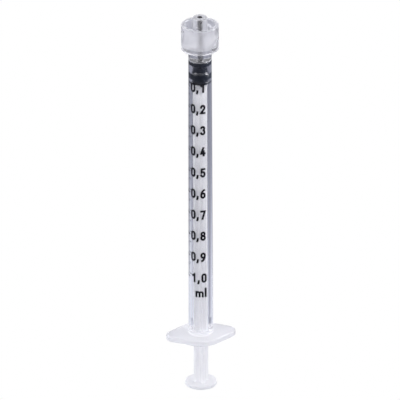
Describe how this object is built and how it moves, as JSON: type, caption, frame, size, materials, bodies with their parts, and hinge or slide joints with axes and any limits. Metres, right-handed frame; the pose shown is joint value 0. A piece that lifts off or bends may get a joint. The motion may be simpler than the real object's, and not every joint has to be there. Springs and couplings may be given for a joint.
{
  "type": "oral syringe",
  "caption": "Slim clear syringe with a graduated barrel, finger flange, threaded lock collar round a tapered nozzle, black rubber stopper and cross-ribbed plunger rod.",
  "frame": {"origin": "centre of the thumb disc's outer face, on the syringe's axis, which is the base that it stands on", "axes": "+Z along the syringe's axis towards the nozzle tip; +X along the length of the finger flange; the numerals face -Y"},
  "size_m": [0.019, 0.0126, 0.1094],
  "materials": {
    "barrel_plastic": "clear moulded plastic",
    "scale_ink": "printed ink",
    "stopper_rubber": "smooth moulded rubber, lightly siliconed",
    "rod_plastic": "translucent moulded plastic"
  },
  "bodies": {
    "barrel": {"barrel": "barrel_plastic", "graduation_lines": "scale_ink"},
    "stopper": {"stopper": "stopper_rubber"},
    "plunger": {"plunger_rod": "rod_plastic"}
  },
  "joints": [
    {"name": "stopper_slide", "type": "slide", "parent": "barrel", "child": "stopper", "axis": [0, 0, -1], "range_m": [0, 0.06937]},
    {"name": "rod_swivel", "type": "hinge", "parent": "stopper", "child": "plunger", "pos_m": [0, 0, 0.09], "axis": [0, 0, 1], "continuous": true}
  ]
}
